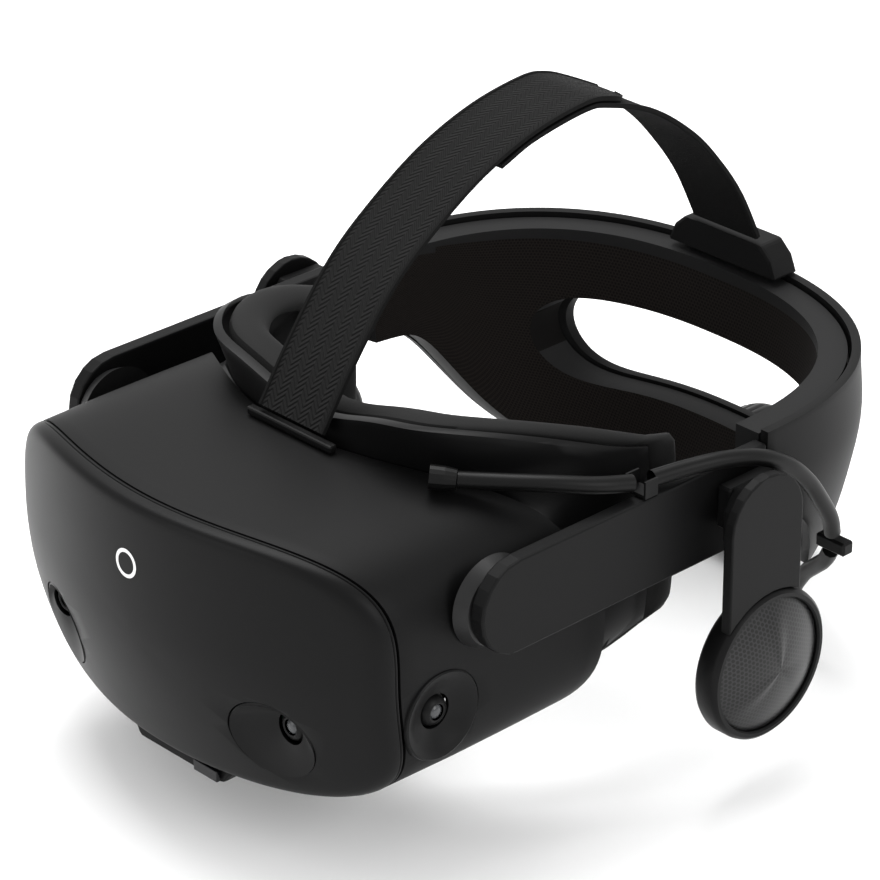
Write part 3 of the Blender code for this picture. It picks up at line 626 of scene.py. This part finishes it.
def make_gasket():
    """The wall round the face and the cushion on its rim."""
    inner = visor_ring(0.935, 1.0)
    edge = [shell_rear_y(x, z) for x, z in visor_ring(1.0, 0.6)]
    crown = gasket_ring(1.0)
    start = [np.array((x, y + 1.2, z)) for (x, z), y in zip(inner, edge)]
    finish_row = [np.array((x, gasket_y(x) - 12.5, z)) for x, z in crown]
    rows = [[(x, y - 9.0, z) for (x, z), y in zip(inner, edge)]]
    for t in np.linspace(0, 1, 10):
        plan, depth = t ** 1.25, t
        rows.append([np.array((p[0] * (1 - plan) + q[0] * plan, p[1] * (1 - depth) + q[1] * depth,
                               p[2] * (1 - plan) + q[2] * plan)) for p, q in zip(start, finish_row)])
    rim_row = [np.array((x, gasket_y(x) - 8.6, z)) for x, z in gasket_ring(1.004)]
    rows.append(rim_row)
    mesh = built(grid("gasket_wall", rows, wrap=True, outward=(0, 100, 40)), 1.4, edge=0.3)
    link("gasket_wall", mesh, "satin", "visor", "gasket_frame")
    sections = []
    for (x, z), (ix, iz) in zip(crown, gasket_ring(0.93)):
        inward = Vector((ix - x, 0, iz - z)).normalized()
        row = []
        for k in range(20):
            a = 2 * math.pi * k / 20
            sideways = 6.0 * (1 - signed_power(math.cos(a), 0.8))
            row.append((x + inward.x * sideways, gasket_y(x) - 8.0 * math.sin(a), z + inward.z * sideways))
        sections.append(row)
    mesh = grid("cushion", sections, wrap=True, close_rows=True, angle=80)
    cushion = link("cushion_skin", mesh, ("cushion", "band"), "visor", "face_cushion")
    for face in mesh.polygons:
        centre = face.center * 1000 + Vector(ORIGIN)
        if centre.y < gasket_y(centre.x) - 4.6:
            face.material_index = 1


make_gasket()


# ---------------------------------------------------------------- halo band
HALO_START, HALO_HALF_WIDTH, HALO_DEPTH, HALO_SQUARENESS, HALO_TOP = 185.0, 105.0, 103.0, 2.4, 82.5


def halo_low(angle):
    """Height of the band's lower edge, from the arm round to the nape."""
    turn = math.degrees(min(angle, math.pi - angle))
    return float(np.interp(turn, [0, 8, 12, 17, 22, 28, 36, 45, 66, 90],
                           [44.3, 42.5, 36, 23, 10.5, 0, -5.5, -9, -18, -24]))


def halo_rows(inset, top, raise_low, bulge=0.0, heights=22, columns=150):
    angles = np.linspace(0, math.pi, columns + 1)
    lows = np.array([halo_low(a) for a in angles])
    for _ in range(3):
        lows[1:-1] = (lows[:-2] + 2 * lows[1:-1] + lows[2:]) / 4
    rows = []
    for h in range(heights):
        row = []
        for angle, low in zip(angles, lows + raise_low):
            z = low + (top - low) * h / (heights - 1)
            tuck = 0.0046 * max(62.0 - z, 0.0) ** 2
            out = bulge * math.exp(-((z - 60) / 16) ** 2) * math.sin(angle) ** 0.7
            c, s = math.cos(angle), math.sin(angle)
            row.append(((HALO_HALF_WIDTH - inset - tuck + out) * signed_power(c, 2 / HALO_SQUARENESS),
                        HALO_START + (HALO_DEPTH - inset - 0.12 * tuck + out) * abs(s) ** (2 / HALO_SQUARENESS), z))
        rows.append(row)
    return rows


def opening(grow):
    """A rounded prism to cut the band's rear window with."""
    low, high, half = 19.0 - grow, 52.0 + grow, 72.0 + grow
    outline = [(-52, low), (52, low), (62, low + 4), (half - 3, low + 15), (half, low + 24), (half - 2, high - 3),
               (half - 7, high), (-half + 7, high), (-half + 2, high - 3), (-half, low + 24), (-half + 3, low + 15),
               (-62, low + 4)]
    dense = np.array([(x, 0, z) for x, z in outline + outline[:1]], float)
    dense = evenly(dense, 160)[:-1]
    for _ in range(30):
        dense = (np.roll(dense, 1, 0) + 2 * dense + np.roll(dense, -1, 0)) / 4
    bm = bmesh.new()
    rings = [[bm.verts.new(world((x, y, z))) for x, _, z in dense] for y in (220, 340)]
    for i in range(len(dense)):
        j = (i + 1) % len(dense)
        bm.faces.new((rings[0][i], rings[0][j], rings[1][j], rings[1][i]))
    for ring in rings:
        bm.faces.new(ring)
    bmesh.ops.recalc_face_normals(bm, faces=bm.faces)
    mesh = bpy.data.meshes.new("opening")
    bm.to_mesh(mesh)
    bm.free()
    obj = bpy.data.objects.new("opening", mesh)
    scene.collection.objects.link(obj)
    return obj


def make_halo():
    """The band's shell and its padding."""
    mesh = grid("halo_shell_skin", halo_rows(0.0, HALO_TOP, 0.0, 2.0), outward=(0, 200, 40))
    mesh = built(mesh, 3.3, [opening(0.0)], edge=1.1)
    link("halo_outer", mesh, "shell", "headband", "halo_shell")
    mesh = grid("halo_pad_skin", halo_rows(4.2, 80.6, 2.0), outward=(0, 200, 40))
    mesh = built(mesh, 10.4, [opening(1.0)], edge=2.6, segments=4)
    pad = link("halo_padding", mesh, ("rim", "knit"), "headband", "halo_pad")
    for face in mesh.polygons:
        centre = face.center * 1000 + Vector(ORIGIN)
        inwards = face.normal.dot(Vector((0, 200 - centre.y, 0)) + Vector((-centre.x, 0, 0)))
        if inwards > 0 and abs(face.normal.z) < 0.5 and centre.z < 77:
            face.material_index = 1


make_halo()


# ---------------------------------------------------------------- straps
STRAP_FRONT = [(63.4, 91.6), (78, 113), (96, 135), (115, 150), (138, 163.5), (162, 172), (186, 175.6), (198, 174),
               (212, 168.5)]
STRAP_REAR = [(146, 163.9), (162, 169.4), (186, 173), (198, 171.4), (220, 163), (241, 148), (256, 132), (267, 117),
              (275.5, 101), (277.6, 96.5)]


def strap(name, path, look, tip, node):
    points = smooth_path([(0, y, z) for y, z in path], 140)
    last = len(points) - 1
    total = length_mm(points)
    tangents = np.gradient(points, axis=0)
    rows = []
    for i, p in enumerate(points):
        left = total * (last - i) / last
        half = 16.0
        if tip and left < 14:
            half = 16.0 * math.sqrt(max(1 - ((14 - left) / 14.6) ** 2, 0.02))
        t = tangents[i] / np.linalg.norm(tangents[i])
        up = np.cross((1.0, 0, 0), t)
        rows.append([p + np.array((x * half, 0, 0)) + up * (0.45 if abs(x) > 0.93 else 0.0)
                     for x in (-1, -0.985, -0.94, -0.92, -0.6, -0.3, 0, 0.3, 0.6, 0.92, 0.94, 0.985, 1)])
    columns = [list(column) for column in zip(*rows)]
    mesh = built(grid(name, columns, outward=(0, 160, 60), angle=60), 1.5)
    obj = bpy.data.objects.new(name, mesh)
    scene.collection.objects.link(obj)
    for key in (look, "edge"):
        mesh.materials.append(LOOK[key])
    for face in mesh.polygons:
        face.material_index = 1 if abs(face.center.x) > 0.0148 else 0
    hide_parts(node)
    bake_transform(obj)
    return obj


strap("strap_front", STRAP_FRONT, "strap", True, "top_strap_front")
strap("strap_rear", STRAP_REAR, "loop", False, "top_strap_rear")


# ---------------------------------------------------------------- speakers and dial
def make_speakers():
    """Each speaker's cup and its domed grille with three soft ridges."""
    for side, suffix in ((1, "left"), (-1, "right")):
        hub = (side * 117.0, 172, 4)
        cup = [(0, -5.9), (25.4, -5.9), (27.2, -4.8), (28.0, -3.2), (28.0, 2.6), (27.6, 4.0), (26.6, 4.9),
               (25.2, 4.9), (24.7, 4.2), (24.7, -3.4), (0, -3.4)]
        link(f"speaker_cup_{suffix}", lathe("cup", cup, hub, (side, 0, 0)), "satin", f"speaker_{suffix}",
             f"speaker_housing_{suffix}")
        dome = [(0, 9.6)] + [(r, 9.6 - 6.2 * (r / 24.5) ** 1.8) for r in np.linspace(2, 24.5, 18)]

        mesh = lathe("dome", dome, hub, (side, 0, 0), angle=80)
        for vert in mesh.vertices:
            p = np.array(vert.co) * 1000 + ORIGIN - np.array(hub)
            radius = math.hypot(p[1], p[2])
            turn = math.atan2(p[2], p[1])
            ridge = max(math.cos(1.5 * (turn - math.pi / 2)) ** 2, 0.0) ** 6
            vert.co.x += side * 0.0007 * ridge * math.sin(min(radius / 24.5, 1) * math.pi)
        link(f"speaker_dome_{suffix}", mesh, "grille", f"speaker_{suffix}", f"speaker_grille_{suffix}")


make_speakers()


def dial_ribs(r, h, k):
    return -0.5 if (k % 4 == 0 and r > 25 and 6 < h < 21) else 0.0


dial = [(0, 24.4), (22, 24.4), (24, 23.8), (25.4, 22.4), (26, 20), (26, 14), (26, 7), (24.5, 5), (15, 5), (13, 0.6),
        (0, 0.6)]
link("dial_knob", lathe("dial", dial, (0, 287.2, -15), (0, 1, 0), steps=144, ribs=dial_ribs), "satin", "dial",
     "size_dial")


# ---------------------------------------------------------------- finishes of the remaining pieces
FINISH = {
    "side_arm": "shell", "slide_tongue": "steel", "hinge_pin": "steel", "cable_clip": "satin", "main_board": "board",
    "display_panel": "gloss", "lens_left": "lens", "lens_right": "lens", "chin_camera_window": "gloss",
    "speaker_driver": "gloss", "cable_gland": "cable", "tether_plug": "cable", "strap_anchor_bar": "satin",
    "ipd_slider": "satin", "volume": "satin", "speaker_bracket": "satin",
}


def finish_nodes():
    """The remaining CAD pieces keep their shape and get a finish."""
    for name, node in NODES.items():
        if node.type != "MESH":
            continue
        key = next((look for start_of, look in FINISH.items() if name.startswith(start_of)), "shell")
        node.data.materials.clear()
        node.data.materials.append(LOOK[key])
        soften(node.data, 32)


finish_nodes()


# ---------------------------------------------------------------- floor
floor_mesh = bpy.data.meshes.new("floor")
floor_mesh.from_pydata([(-6, -6, -0.0005), (6, -6, -0.0005), (6, 6, -0.0005), (-6, 6, -0.0005)], [], [(0, 1, 2, 3)])
floor = bpy.data.objects.new("floor", floor_mesh)
scene.collection.objects.link(floor)
floor_mesh.materials.append(finish("floor_white", (0.98, 0.98, 0.98), 0.9, 0.0))
